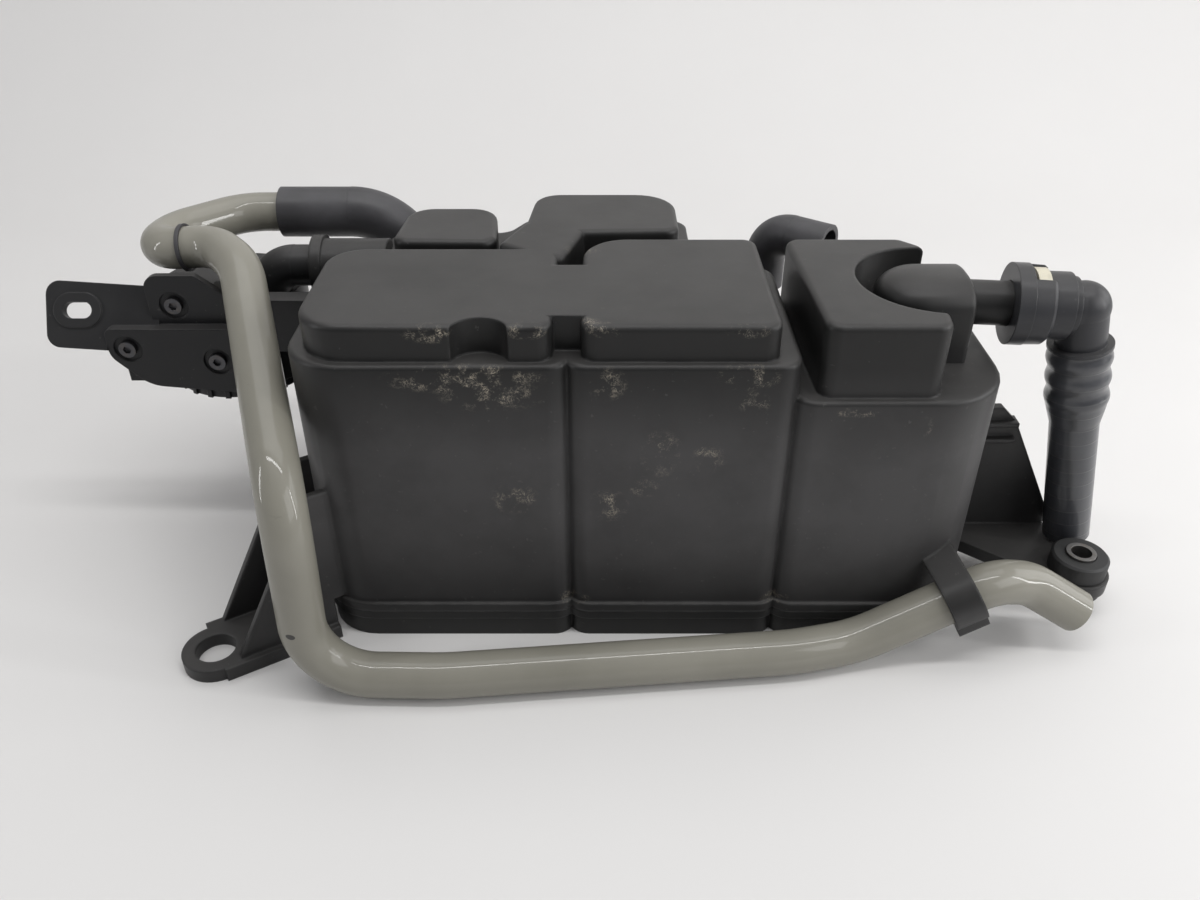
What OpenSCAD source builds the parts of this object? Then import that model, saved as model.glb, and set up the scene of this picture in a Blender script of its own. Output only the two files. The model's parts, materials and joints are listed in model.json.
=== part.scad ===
// Charcoal canister of a fuel vapour system. A welded plastic housing has three chambers in
// its front row and one behind them. A breather module hangs on the left end, a formed vent
// tube runs round the front, and a quick connector carries a line tube on the right.
// Millimetres. X runs along the front row, Y away from the front wall, Z up from the floor.

/* [Housing] */

// Length of the front row of chambers
body_length = 270; // [258:1:282]
// Depth of the front row
front_depth = 90; // [86:1:96]
// Depth of the rear row
rear_depth = 55; // [52:1:60]
// Width of the left chamber
left_bay = 104; // [99:1:109]
// Width of the middle chamber
middle_bay = 84; // [80:1:88]
// Height of the main ledge above the floor
ledge_height = 129; // [122:1:136]
// Drop of the right chamber's ledge
right_drop = 15; // [12:0.5:18]
// Rise of the raised blocks above the main ledge
block_rise = 14; // [12:0.5:16]
// Rounding of the raised blocks' top edges
block_edge = 2.5; // [1.5:0.25:3.5]
// Rounding of the ledge's edge
ledge_edge = 2; // [1:0.25:2.5]
// Corner rounding between neighbouring chambers
bay_corner = 9; // [7:0.5:11]
// Rounding of the housing's left end
end_corner = 22; // [18:1:26]
// Rounding of the right chamber's free end
round_end = 30; // [26:1:34]
// Wall thickness of the mouldings
wall = 3; // [2.6:0.1:3.4]
// Height of the bottom cover
cover_height = 14; // [13:0.5:16]
// How far the welded flanges stand out
weld_lip = 1.5; // [1:0.25:2]
// Height of each welded flange
weld_band = 4; // [3:0.5:5]

/* [Filling] */

// Thickness of a felt screen
screen_thick = 3; // [2.5:0.25:4]
// Thickness of a support grid
grid_thick = 3; // [2.5:0.25:4]
// Wire diameter of a spring
spring_wire = 1.8; // [1.4:0.1:2.2]
// Radius of a spring's coil
spring_radius = 14; // [11:0.5:17]
// Loose fit of the filling in its chamber
fill_gap = 0.4; // [0.3:0.05:0.6]

/* [Connector] */

// Outer radius of the nipple on the right
nipple_radius = 8.75; // [8:0.25:9.5]
// Free length of the nipple
nipple_length = 40; // [39:0.5:43]
// Outer radius of the quick connector's body
connector_radius = 13.2; // [12.8:0.1:14]
// Bore of the line tube
line_bore = 7.4; // [7:0.1:8]
// Wall of the line tube
line_wall = 2.3; // [2:0.1:2.8]
// Length of the line tube
line_length = 95; // [88:1:96]
// Lean of the line tube from the vertical
line_lean = 11; // [8:0.5:12]

/* [Tubes] */

// Outer radius of the vent tube
vent_radius = 9; // [8.5:0.1:9.4]
// Wall of the vent tube
vent_wall = 1.8; // [1.4:0.1:2.4]
// Wall of the rubber hoses
hose_wall = 2.4; // [2:0.1:3]
// Outer radius of the rear tube
rear_radius = 6.5; // [5.5:0.25:7]
// Radial gap between pieces that plug together
fit = 0.2; // [0.15:0.05:0.3]

/* [Breather module] */

// Radius of the drum
drum_radius = 33; // [31:0.5:35]
// Height of the drum
drum_height = 43; // [40:0.5:46]
// Outer radius of the module's pipe
pipe_radius = 9; // [8:0.25:9.5]
// Length of the fixing slot
slot_length = 12.5; // [11:0.5:14]
// Width of the fixing slot
slot_width = 7; // [6:0.25:8]
// Shank radius of the screws
screw_radius = 2; // [1.75:0.05:2.25]

/* [Feet] */

// Radius of the hole in the left foot
left_eye = 8; // [7:0.25:8.5]
// Radius of the hole for the bush
bush_eye = 9; // [8.6:0.1:9.4]
// Bore radius of the bush's sleeve
sleeve_bore = 4.25; // [3.75:0.05:4.5]
// Wall of the bush's sleeve
sleeve_wall = 1.9; // [1.5:0.1:2.2]
// Thickness of the foot plates
foot_thick = 6; // [5:0.25:7]

/* [Hidden] */

$fn = 64;
arc_steps = 8;
edge_steps = 4;
sliver = 0.02;
upright = 0.999;
cut = 1;
lap = 0.5;
proud = 0.08;

// Walls of the housing in plan
left = -body_length / 2;
right = body_length / 2;
front = -(front_depth + rear_depth) / 2;
middle = front + front_depth;
rear = middle + rear_depth;
groove_1 = left + left_bay;
groove_2 = groove_1 + middle_bay;
share = wall / 2;

// Levels
top = ledge_height + block_rise;
right_ledge = ledge_height - right_drop;
seam = cover_height;
flange_top = seam + weld_band;

// Chambers as corners with their rounding, each wall shared with its neighbour
bay_left = [
    [left, front, end_corner],
    [groove_1 + share, front, bay_corner],
    [groove_1 + share, middle, bay_corner],
    [left, middle, bay_corner / 2],
];
bay_middle = [
    [groove_1 - share, front, bay_corner],
    [groove_2 + share, front, bay_corner],
    [groove_2 + share, middle, bay_corner],
    [groove_1 - share, middle, bay_corner],
];
bay_right = [
    [groove_2 - share, front, bay_corner],
    [right, front, round_end],
    [right, middle, round_end],
    [groove_2 - share, middle, bay_corner],
];
rear_inset = 20.5;
rear_short = 32;
rear_step_back = 30;
rear_left = left + rear_inset;
rear_right = groove_2 - rear_short;
rear_step = groove_1 - rear_step_back;
rear_step_depth = 17;
bay_rear = [
    [rear_left, middle - wall, bay_corner / 2],
    [rear_right, middle - wall, bay_corner / 2],
    [rear_right, rear, end_corner / 2],
    [rear_step + bay_corner, rear, bay_corner],
    [rear_step, rear - rear_step_depth, bay_corner],
    [rear_left, rear - rear_step_depth, end_corner / 2],
];
bays = [bay_left, bay_middle, bay_right, bay_rear];
bay_tops = [ledge_height, ledge_height, right_ledge, ledge_height];

// Raised blocks
ledge = 3.5;
lobe_gap = 5;
block_front = front + ledge;
block_corner = 6;
lobe_inset = 6;
lobe_short = 14;
lobe_end = 7;
lobe_left = left + lobe_inset;
lobe_back = middle - lobe_short;
lobe_right = groove_2 - lobe_end;
left_lobe = [
    [lobe_left, block_front, end_corner - ledge],
    [groove_1 - lobe_gap, block_front, block_corner],
    [groove_1 - lobe_gap, lobe_back, block_corner],
    [lobe_left, lobe_back, end_corner - 2 * ledge],
];
right_lobe = [
    [groove_1 + lobe_gap, block_front, block_corner],
    [lobe_right, block_front, block_corner],
    [lobe_right, middle - ledge, block_corner],
    [groove_1 + lobe_gap, middle - ledge, end_corner - ledge],
];
notch_depth = 9;
neck_short = 32;
neck_back = middle - neck_short;
scallop_radius = 11;
scallop_aside = 31;
scallop_x = groove_1 - scallop_aside;
right_block = [
    [groove_2 + 8, block_front, block_corner],
    [right - 29, block_front, block_corner],
    [right - 21, middle - 12, block_corner],
    [right - 29, middle - ledge, block_corner],
    [groove_2 + lobe_gap, middle - ledge, block_corner],
];
rear_block_left = [
    [rear_left + 8, middle - 6, block_corner],
    [rear_step - 1, middle - 8, block_corner],
    [rear_step - 4, rear - 22, 2 * block_corner],
    [rear_left + 11, rear - 22, 2 * block_corner],
];
rear_block_main = [
    [rear_step + 9, middle + ledge, block_corner / 3],
    [rear_right - 6, middle + lobe_gap, block_corner],
    [rear_right - 6, rear - ledge, 3 * block_corner],
    [rear_step + 13, rear - ledge, 2 * block_corner],
];
rear_block_tip = [
    [rear_step - 0.5, middle - 10, block_corner / 2],
    [groove_1 - ledge, middle - 25, block_corner / 2],
    [groove_1 + lobe_gap, middle + ledge, block_corner / 3],
    [groove_1 + lobe_gap, middle + 20, block_corner],
    [rear_step + 9.5, middle + 16, block_corner],
];

// Nose with the nipple
nose_in = 42;
nose_half = 17;
nose_back = 29;
nose_short = 13;
nose_y = middle - nose_in;
nose_x = right - nose_back;
nose_end = right - nose_short;
nose_under = 10;
nose_edge = 6;
nipple_sink = 11;
nipple_wall = 2.3;
nipple_z = top - nipple_sink;
nipple_bore = nipple_radius - nipple_wall;
nipple_turn = 6;
nipple_way_on = [cos(nipple_turn), -sin(nipple_turn), 0];
nipple_root = [nose_end, nose_y, nipple_z];
cutout_radius = 31;
cutout = [right - 24.5, nose_y - 3];
clip_groove = 1;

// Quick connector, measured along the nipple from the nose
collar_start = 18.5;
collar_length = 6;
collar_radius = connector_radius + 2.8;
retainer_start = collar_start + collar_length + 1.5;
retainer_width = 5;
retainer_proud = 1.2;
body_end = collar_start + 22;
step_end = body_end + 2.5;
elbow_at = collar_start + 28.5;
elbow_spot = nipple_root + nipple_way_on * elbow_at;
elbow_radius = connector_radius - 3.2;
elbow_bore = nipple_bore - 1;
seal_wire = 1.1;
seal_ring = nipple_radius + fit + seal_wire;
seal_start = retainer_start + retainer_width + 3;
seal_pitch = 4.5;
seal_count = 2;
barb_start = 17;
barb_pitch = 9;
barb_count = 3;
barb_radius = line_bore - fit;
barb_root = barb_radius - 1;
stub_flange = connector_radius - 0.8;
flange_thick = 1.5;
swell = 1.9;
bump = 0.9;
taper = 9;
swell_steps = 30;
barb_end = barb_start + barb_count * barb_pitch;
barb_edges = [[barb_root, 0.1], [barb_radius, 0.35], [barb_radius, 0.45]];
line_radius = line_bore + line_wall;

// Vent tube as the corners of its route with the bend at each
run_z = vent_radius + fit;
run_y = front - weld_lip - vent_radius - 1.5;
vent_z = ledge_height + 3;
hose_end_x = left - 34.5;
vent_start_x = hose_end_x + 24;
hose_y = rear + 2.5;
vent_route = [
    [vent_start_x, hose_y, vent_z, 0],
    [left - 52.5, hose_y, vent_z, 24],
    [left - 76.5, middle + 32, vent_z, 24],
    [left - 77.5, middle + 8, vent_z + 1, 11],
    [left - 50.5, middle + 8, vent_z + 3, 20],
    [left - 33.5, middle - 12, vent_z + 2, 40],
    [left + 3.5, front - 28, ledge_height - 40, 34],
    [left + 2, front - 32, run_z, 26],
    [left + 55, front - 33, run_z, 90],
    [groove_2 + 6, run_y - 8, run_z, 90],
    [groove_2 + 32, run_y - 2, run_z, 40],
    [right + 3, front - 8, run_z + 27, 22],
    [right + 20, front - 2.5, run_z + 21.5, 26],
    [right + 42, front - 4.5, run_z + 8, 0],
];
clip_corner = 11;
clip_back = 14.5;
clip_width = 13;
clip_wall = 2.8;
clip_end = 240;
clip_steps = 10;
clip_lip = 5;
clip_reach = 24;
clip_rise = 6;
band_corner = 3;
band_ahead = 13.5;
band_width = 1.6;
band_wall = 1;

// Rubber elbow of the vent tube and the spigot that it sits on
hose_radius = vent_radius + fit + hose_wall;
hose_drop_in = 8;
hose_bend = 30;
hose_sink = 38;
spigot_below = 12;
spigot_wall = 2.4;
hose_drop_x = rear_left + hose_drop_in;
hose_low = ledge_height - hose_sink;
spigot_low = hose_low - spigot_below;
spigot_top = vent_z - hose_bend - lap;
spigot_bore = vent_radius - spigot_wall;

// Rear tube, its spigot and its rubber elbow
rear_aside = 5.5;
rear_in = 15;
rear_sink = 10;
rear_bend = 18;
rear_hose_rise = 1;
rear_hose_lap = 16;
rear_x = groove_2 + rear_aside;
rear_y = rear - rear_in;
rear_z = ledge_height / 2;
rear_top = ledge_height - rear_sink;
rear_hose_radius = rear_radius + fit + hose_wall;
rear_hose_z = ledge_height + rear_hose_rise;
rear_hose_low = rear_top - rear_hose_lap;
rear_hose_bend = 13;
rear_hose_reach = 31;
rear_hose_turn = 38;
rear_spigot_out = 14;
rear_wall = 1.5;

// Breather module
module_in = 11.5;
drum_out = 52.5;
drum_behind = 1;
drum_sink = 60;
block_y = middle - module_in;
drum_x = left - drum_out;
drum_y = block_y + drum_behind + drum_radius;
drum_low = ledge_height - drum_sink;
drum_top = drum_low + drum_height;
drum_wall = 2.5;
filter_gap = 2;
filter_thick = 9;
lid_height = 4;
lid_ribs = 24;
lid_rib = 1.2;
pipe_out = 31.5;
pipe_behind = 12.5;
pipe_sink = 5;
pipe_x = left - pipe_out;
pipe_y = middle + pipe_behind;
pipe_z = ledge_height - pipe_sink;
pipe_bend = 13;
pipe_wall = 2;
socket_wall = 2.5;
socket_radius = pipe_radius + fit + socket_wall;
socket_out = 30;
socket_lip = 1.5;
socket_lip_width = 5;
seal_groove = 1.2;
seal_width = 3;
pipe_short = 4;
pipe_seal_back = 14;
pipe_end = rear_left - pipe_short;
pipe_seal_x = rear_left - pipe_seal_back;
block_back = 16;
block_rise_low = 10;
block_side = 8;
block_low = drum_low + block_rise_low;
block_left = drum_x - drum_radius - block_side;
arm_sink = 9;
arm_height = 24;
arm_in = 16;
arm_depth = 9;
arm_out = 38;
arm_top = ledge_height - arm_sink;
arm_low = arm_top - arm_height;
arm_y = middle - arm_in;
arm_x = left - arm_out;

// Cover of the module with the fixing tab
gasket = 1;
plate_thick = 8.5;
upper_thick = 3;
plate_rise = 13;
plate_sink = 20;
upper_rise = 2;
boss_sink = 7;
plate_aside = 1;
cover_back = block_y - gasket;
plate_front = cover_back - plate_thick;
upper_front = cover_back - upper_thick;
plate_low = drum_low + plate_rise;
plate_top = ledge_height - plate_sink;
upper_top = ledge_height + upper_rise;
boss_top = upper_top - boss_sink;
plate_right = arm_x - plate_aside;
plate_left = block_left - plate_aside;
plate_bevel = 14;
plate_round = 16;
plate_dip = 4;
cover_corner = 3;
upper_step = 11;
upper_slope = 14;
upper_out = 75;
tab_out = 120;
tab_lean = 30;
tab_sink = 1.5;
tab_height = 28.5;
tab_thick = 3;
tab_flare = 3;
tab_behind = 2;
slot_out = 106.5;
slot_sink = 14.5;
upper_left = left - upper_out;
tab_left = left - tab_out;
tab_top = ledge_height - tab_sink;
tab_low = tab_top - tab_height;
tab_front = upper_front + tab_behind;
slot_x = left - slot_out;
slot_z = ledge_height - slot_sink;
slot_pad = 4;
slot_rise = 0.8;
screw_places = [
    [left - 64.3, ledge_height - 11.5, upper_front],
    [left - 86, ledge_height - 29.2, plate_front],
    [left - 48.8, ledge_height - 35.3, plate_front],
];
screw_head = 1.8 * screw_radius;
screw_cap = 2.2;
screw_length = 15;
screw_well = 6;
well_depth = 1.2;
key_radius = 0.9 * screw_radius;
key_depth = 1.5;
key_sides = 6;

// Left foot: an eye plate and two gussets that lean on the corner of the housing
eye_out = 41.5;
eye_ahead = 14.5;
eye_turn = 32;
eye_wall = 5.5;
eye_x = left - eye_out;
eye_y = front - eye_ahead;
eye_rim = left_eye + eye_wall;
gusset_thick = 3;
gusset_near_side = 1;
gusset_far_side = 6;
gusset_near = -(left_eye + gusset_near_side);
gusset_far = left_eye + gusset_far_side;
gusset_start = 7;
gusset_height = 72;
gusset_top = 44;
gusset_reach = 64;
plate_front_edge = -15;
arm_reach = 48;
seam_gap = 1;

// Right foot: an eye for the bush, a plate and a ribbed wing
bush_out = 51.7;
bush_in = 20.5;
bush_wall = 4.3;
foot_low = 12.5;
bush_brim = 2.8;
bush_below = 4.5;
bush_above = 8.5;
bush_x = right + bush_out;
bush_y = front + bush_in;
bush_rim = bush_eye + bush_wall;
bush_flange = bush_eye + bush_brim;
bush_low = foot_low - bush_below;
bush_high = foot_low + foot_thick + bush_above;
sleeve_radius = sleeve_bore + sleeve_wall;
sleeve_proud = 1;
bush_chamfer = 1;
wing_in = 35;
wing_thick = 4;
wing_top = 80;
wing_shoulder_out = 18;
wing_slant = 7;
wing_out = 49;
wing_foot = 8;
foot_root_out = 4;
wing_y = middle - wing_in;
wing_shoulder = right + wing_shoulder_out;
wing_end = right + wing_out;
foot_root = right + foot_root_out;
foot_root_width = 12;
wing_ribs = [72, 64];
wing_rib_long = 25;
wing_rib_out = 3;
wing_rib_thick = 2;
wing_edge = [
    [wing_shoulder, wing_top],
    [wing_shoulder + wing_slant, wing_top - wing_slant],
    [wing_end, foot_low + foot_thick + wing_foot],
    [wing_end, foot_low],
    [foot_root, foot_low],
    [foot_root, flange_top + seam_gap],
    [right - wall, flange_top + seam_gap],
    [right - wall, wing_top],
];

// Stack of the filling
spring_top = seam - 1;
grid_top = spring_top + grid_thick;
felt_top = grid_top + screen_thick;
coil_turns = 2.5;
coil_steps = 20;
wire_sides = 6;
grid_hole = 5;
grid_pitch = 14;

// Geometry helpers

function unit(v) = v / norm(v);
function plan(p) = [p[0], p[1]];
function spot(p) = [p[0], p[1], p[2]];
function swing(a) = a > 180 ? a - 360 : a < -180 ? a + 360 : a;
function heading(v) = atan2(v[1], v[0]);

// Arc that rounds corner p between its neighbours a and b
function corner_arc(a, p, b, r) =
    let (u = unit(a - p), w = unit(b - p), half = acos(u * w) / 2)
    let (c = p + unit(u + w) * r / sin(half), reach = r / tan(half))
    let (from = heading(p + u * reach - c), to = heading(p + w * reach - c))
    [for (i = [0:arc_steps])
        let (t = from + swing(to - from) * i / arc_steps) c + r * [cos(t), sin(t)]];

// Outline through corners given as x, y and rounding
function rounded(corners) =
    let (n = len(corners))
    [for (i = [0:n - 1])
        let (a = corners[(i + n - 1) % n], p = corners[i], b = corners[(i + 1) % n])
        each corner_arc(plan(a), plan(p), plan(b), p[2])];

module outline(corners) {
    polygon(rounded(corners));
}

// Corners of an outline without hollows moved inwards, with their rounding reduced to match
function inset(corners, d) =
    let (n = len(corners))
    [for (i = [0:n - 1])
        let (a = plan(corners[(i + n - 1) % n]), p = plan(corners[i]), b = plan(corners[(i + 1) % n]))
        let (u = unit(a - p), w = unit(b - p), q = p + unit(u + w) * d / sin(acos(u * w) / 2))
        [q[0], q[1], max(sliver, corners[i][2] - d)]];

// Solid through a stack of outlines that have the same number of points, each with its height
module loft(rings) {
    n = len(rings[0][0]);
    last = len(rings) - 1;
    points = [for (r = rings, p = r[0]) [p[0], p[1], r[1]]];
    sides = [for (k = [0:last - 1], i = [0:n - 1])
        let (j = (i + 1) % n) [k * n + i, (k + 1) * n + i, (k + 1) * n + j, k * n + j]];
    caps = [[for (i = [0:n - 1]) i], [for (i = [n - 1:-1:0]) last * n + i]];
    polyhedron(points, concat(sides, caps));
}

// Prism with its top edge rounded, for outlines without hollows
module raised_block(corners, low, high, edge) {
    loft(concat(
        [[rounded(corners), low]],
        [for (i = [0:edge_steps])
            let (a = 90 * i / edge_steps)
            [rounded(inset(corners, edge * (1 - cos(a)))), high - edge + edge * sin(a)]]
    ));
}

module slab(low, high) {
    translate([0, 0, low]) linear_extrude(high - low) children();
}

// Moves children so that their Z runs from p along direction w
module along(p, w) {
    z = unit(w);
    x = unit(abs(z[2]) > upright ? [1, 0, 0] : cross([0, 0, 1], z));
    y = cross(z, x);
    multmatrix([
        [x[0], y[0], z[0], p[0]],
        [x[1], y[1], z[1], p[1]],
        [x[2], y[2], z[2], p[2]],
    ]) children();
}

// Round section, solid where the inner radius is nothing
module ring(outer, inner) {
    difference() {
        circle(outer);
        if (inner > 0) circle(inner);
    }
}

// Turn at corner i of a route, and how much of each leg its bend takes
function leg(route, i) = unit(spot(route[i + 1]) - spot(route[i]));
function turn_at(route, i) =
    acos(max(-1, min(1, leg(route, i - 1) * leg(route, i))));
function bend_reach(route, i) =
    i == 0 || i == len(route) - 1 ? 0 : route[i][3] * tan(turn_at(route, i) / 2);

// Tube along a route: straight legs, with a true bend at each corner. A bend stands a little
// proud of its legs, which run on into it.
module tube(route, outer, inner) {
    last = len(route) - 1;
    for (i = [0:last - 1]) {
        w = leg(route, i);
        from = spot(route[i]) + w * (bend_reach(route, i) - (i > 0 ? lap : 0));
        to = spot(route[i + 1]) - w * (bend_reach(route, i + 1) - (i < last - 1 ? lap : 0));
        along(from, w) linear_extrude(norm(to - from)) ring(outer, inner);
    }
    for (i = [1:last - 1])
        tube_bend(spot(route[i]), leg(route, i - 1), leg(route, i), route[i][3],
            bend_reach(route, i), outer, inner);
}

module tube_bend(p, w_in, w_out, r, reach, outer, inner) {
    // The bend lies in the plane of its two legs, about a centre on their inner side
    from = p - w_in * reach;
    inward = unit(w_out - w_in * (w_in * w_out));
    centre = from + inward * r;
    x = -inward;
    y = w_in;
    z = cross(x, y);
    multmatrix([
        [x[0], y[0], z[0], centre[0]],
        [x[1], y[1], z[1], centre[1]],
        [x[2], y[2], z[2], centre[2]],
    ])
        rotate_extrude(angle = acos(w_in * w_out)) translate([r, 0])
            ring(outer + proud, inner > 0 ? inner - proud : 0);
}

// Housing

module body_plan() {
    for (bay = bays) outline(bay);
}

module shell() {
    for (i = [0:2]) raised_block(bays[i], seam, bay_tops[i], ledge_edge);
    slab(seam, ledge_height) outline(bay_rear);
    slab(seam, flange_top) offset(delta = weld_lip) body_plan();
}

module blocks() {
    raised_block(left_lobe, ledge_height - wall, top, block_edge);
    raised_block(right_lobe, ledge_height - wall, top, block_edge);
    slab(ledge_height - wall, top) neck_plan();
    raised_block(right_block, right_ledge - wall, top, block_edge);
    raised_block(rear_block_left, ledge_height - wall, top, block_edge);
    raised_block(rear_block_main, ledge_height - wall, top, block_edge);
    raised_block(rear_block_tip, ledge_height - wall, top, block_edge);
}

module neck_plan() {
    translate([groove_1 - lobe_gap - block_corner, block_front + notch_depth])
        square([2 * (lobe_gap + block_corner), neck_back - block_front - notch_depth]);
}

// Half-round bite in the front of the left lobe and the bay that the nose stands in
module block_cuts() {
    translate([scallop_x, front, ledge_height])
        cylinder(r = scallop_radius, h = block_rise + cut);
    translate([cutout[0], cutout[1], right_ledge])
        cylinder(r = cutout_radius, h = top - right_ledge + cut);
    translate([cutout[0], cutout[1] - cutout_radius, right_ledge])
        cube([cutout_radius, cutout_radius, top - right_ledge + cut]);
}

module nose() {
    profile_low = top - 2 * nose_half + nose_under;
    intersection() {
        union() {
            translate([nose_x, nose_y, profile_low])
                cylinder(r = nose_half, h = top - nose_edge - profile_low);
            translate([nose_x, nose_y, top - nose_edge])
                cylinder(r1 = nose_half, r2 = nose_half - nose_edge, h = nose_edge);
            translate([nose_x, nose_y, 0]) rotate([90, 0, 90])
                linear_extrude(nose_end - nose_x) nose_profile(profile_low);
        }
        translate([nose_x - nose_half, nose_y - nose_half, profile_low])
            cube([nose_end - nose_x + nose_half, 2 * nose_half, top - profile_low]);
    }
    translate([nose_x, nose_y, right_ledge - wall])
        cylinder(r = nose_under, h = profile_low + cut - right_ledge + wall);
    translate([nose_x, nose_y - wall, right_ledge - wall])
        cube([nose_end - nose_x - wall, 2 * wall, profile_low + cut - right_ledge + wall]);
}

module nose_profile(low) {
    polygon([
        [-nose_half, low],
        [nose_half, low],
        [nose_half, top - nose_edge],
        [nose_half - nose_edge, top],
        [nose_edge - nose_half, top],
        [-nose_half, top - nose_edge],
    ]);
}

module nipple() {
    along(nipple_root - nipple_way_on * wall, nipple_way_on)
        rotate_extrude() polygon([
            [0, 0],
            [nipple_radius, 0],
            [nipple_radius, retainer_start + wall],
            [nipple_radius - clip_groove, retainer_start + wall],
            [nipple_radius - clip_groove, retainer_start + retainer_width + wall],
            [nipple_radius, retainer_start + retainer_width + wall],
            [nipple_radius, nipple_length + wall - clip_groove],
            [nipple_radius - clip_groove, nipple_length + wall],
            [0, nipple_length + wall],
        ]);
}

module nipple_way() {
    along(nipple_root - nipple_way_on * (nose_end - nose_x), nipple_way_on)
        cylinder(r = nipple_bore, h = nose_end - nose_x + nipple_length + cut);
    translate([nose_x, nose_y, right_ledge - 2 * wall])
        cylinder(r = nipple_bore, h = nipple_z - right_ledge + 2 * wall);
}

// Upright spigot behind the rear chamber, for the vent tube's rubber elbow
module vent_spigot() {
    translate([hose_drop_x, hose_y, spigot_low])
        cylinder(r = vent_radius, h = spigot_top - spigot_low);
    translate([hose_drop_x, hose_y, spigot_low]) sphere(vent_radius);
    along([hose_drop_x, rear - rear_step_depth - wall, spigot_low], [0, 1, 0])
        cylinder(r = vent_radius, h = rear_step_depth + wall);
}

module vent_spigot_way() {
    translate([hose_drop_x, hose_y, spigot_low])
        cylinder(r = spigot_bore, h = spigot_top - spigot_low + cut);
    along([hose_drop_x, rear - rear_step_depth - 2 * wall, spigot_low], [0, 1, 0])
        cylinder(r = spigot_bore, h = rear_step_depth + 2 * wall);
}

module rear_spigot() {
    along([rear_x, middle - wall, rear_z], [0, 1, 0])
        cylinder(r = rear_radius - rear_wall - fit, h = rear_spigot_out + wall);
    along([rear_x, middle - wall, rear_z], [0, 1, 0])
        cylinder(r = rear_radius + rear_wall, h = 2 * wall);
}

module rear_spigot_way() {
    along([rear_x, middle - 2 * wall, rear_z], [0, 1, 0])
        cylinder(r = rear_radius - 2 * rear_wall - fit, h = rear_spigot_out + 3 * wall);
}

// Socket on the rear chamber's left wall, for the module's pipe
module pipe_socket() {
    along([rear_left - socket_out, pipe_y, pipe_z], [1, 0, 0]) {
        cylinder(r = socket_radius, h = socket_out + wall);
        cylinder(r = socket_radius + socket_lip, h = socket_lip_width);
    }
}

module pipe_socket_way() {
    along([rear_left - socket_out - cut, pipe_y, pipe_z], [1, 0, 0])
        cylinder(r = pipe_radius + fit, h = socket_out + cut);
    along([rear_left - cut, pipe_y, pipe_z], [1, 0, 0])
        cylinder(r = pipe_radius - pipe_wall, h = 2 * wall + cut);
}

module left_foot() {
    translate([eye_x, eye_y, 0]) rotate([0, 0, eye_turn]) {
        linear_extrude(foot_thick) difference() {
            union() {
                circle(eye_rim);
                translate([0, plate_front_edge])
                    square([arm_reach, gusset_far + gusset_thick - plate_front_edge]);
            }
            circle(left_eye);
        }
        for (v = [gusset_near - gusset_thick, gusset_far])
            translate([0, v + gusset_thick, 0]) rotate([90, 0, 0])
                linear_extrude(gusset_thick) gusset_plan();
    }
}

module gusset_plan() {
    polygon([
        [gusset_start, 0],
        [arm_reach, 0],
        [arm_reach, flange_top + seam_gap],
        [gusset_reach, flange_top + seam_gap],
        [gusset_reach, gusset_height],
        [gusset_top, gusset_height],
        [gusset_start, foot_thick],
    ]);
}

module right_foot() {
    translate([0, wing_y + wing_thick / 2, 0]) rotate([90, 0, 0])
        linear_extrude(wing_thick) polygon(wing_edge);
    for (z = wing_ribs)
        translate([right - wall, wing_y - wing_thick / 2 - wing_rib_out, z])
            cube([wall + wing_rib_long, wing_rib_out + wing_thick, wing_rib_thick]);
    slab(foot_low, foot_low + foot_thick) difference() {
        union() {
            translate([bush_x, bush_y]) circle(bush_rim);
            polygon([
                [foot_root, wing_y],
                [foot_root, wing_y - foot_root_width],
                [bush_x - bush_rim / 2, bush_y - bush_rim * sin(60)],
                [bush_x, bush_y + bush_rim],
                [wing_end, wing_y],
            ]);
        }
        translate([bush_x, bush_y]) circle(bush_eye);
    }
}

// Open clip that holds the vent tube's right-hand rise: an arm, a strap over the tube and a lip
module tube_clip() {
    w = leg(vent_route, clip_corner - 1);
    p = spot(vent_route[clip_corner]) - w * clip_back;
    inner = vent_radius + fit;
    outer = inner + clip_wall;
    turns = [for (i = [0:clip_steps]) 90 + (clip_end - 90) * i / clip_steps];
    tip = outer * [cos(clip_end), sin(clip_end)];
    along(p - w * clip_width / 2, w) linear_extrude(clip_width) polygon(concat(
        [for (a = turns) outer * [cos(a), sin(a)]],
        [tip - [0, clip_lip], tip + [clip_wall, -clip_lip], tip + [clip_wall, 0]],
        [for (i = [clip_steps:-1:0]) inner * [cos(turns[i]), sin(turns[i])]],
        [[clip_reach, inner + clip_rise], [clip_reach, outer + clip_rise]]
    ));
}

module cavities() {
    for (i = [0:len(bays) - 1])
        slab(seam - cut, bay_tops[i] - wall) offset(delta = -wall) outline(bays[i]);
    slab(ledge_height - wall - sliver, top - wall) offset(delta = -wall) difference() {
        union() {
            outline(left_lobe);
            outline(right_lobe);
            neck_plan();
        }
        translate([scallop_x, front]) circle(scallop_radius);
    }
    slab(right_ledge - wall - sliver, top - wall) offset(delta = -wall) difference() {
        outline(right_block);
        translate(cutout) circle(cutout_radius);
        translate([cutout[0], cutout[1] - cutout_radius])
            square([cutout_radius, cutout_radius]);
    }
    slab(ledge_height - wall - sliver, top - wall) offset(delta = -wall)
        outline(rear_block_left);
    slab(ledge_height - wall - sliver, top - wall) offset(delta = -wall)
        outline(rear_block_main);
}

module canister_housing() {
    color("dimgray") difference() {
        union() {
            shell();
            difference() {
                blocks();
                block_cuts();
            }
            nose();
            nipple();
            vent_spigot();
            rear_spigot();
            pipe_socket();
            left_foot();
            right_foot();
            tube_clip();
        }
        cavities();
        nipple_way();
        vent_spigot_way();
        rear_spigot_way();
        pipe_socket_way();
    }
}

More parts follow.
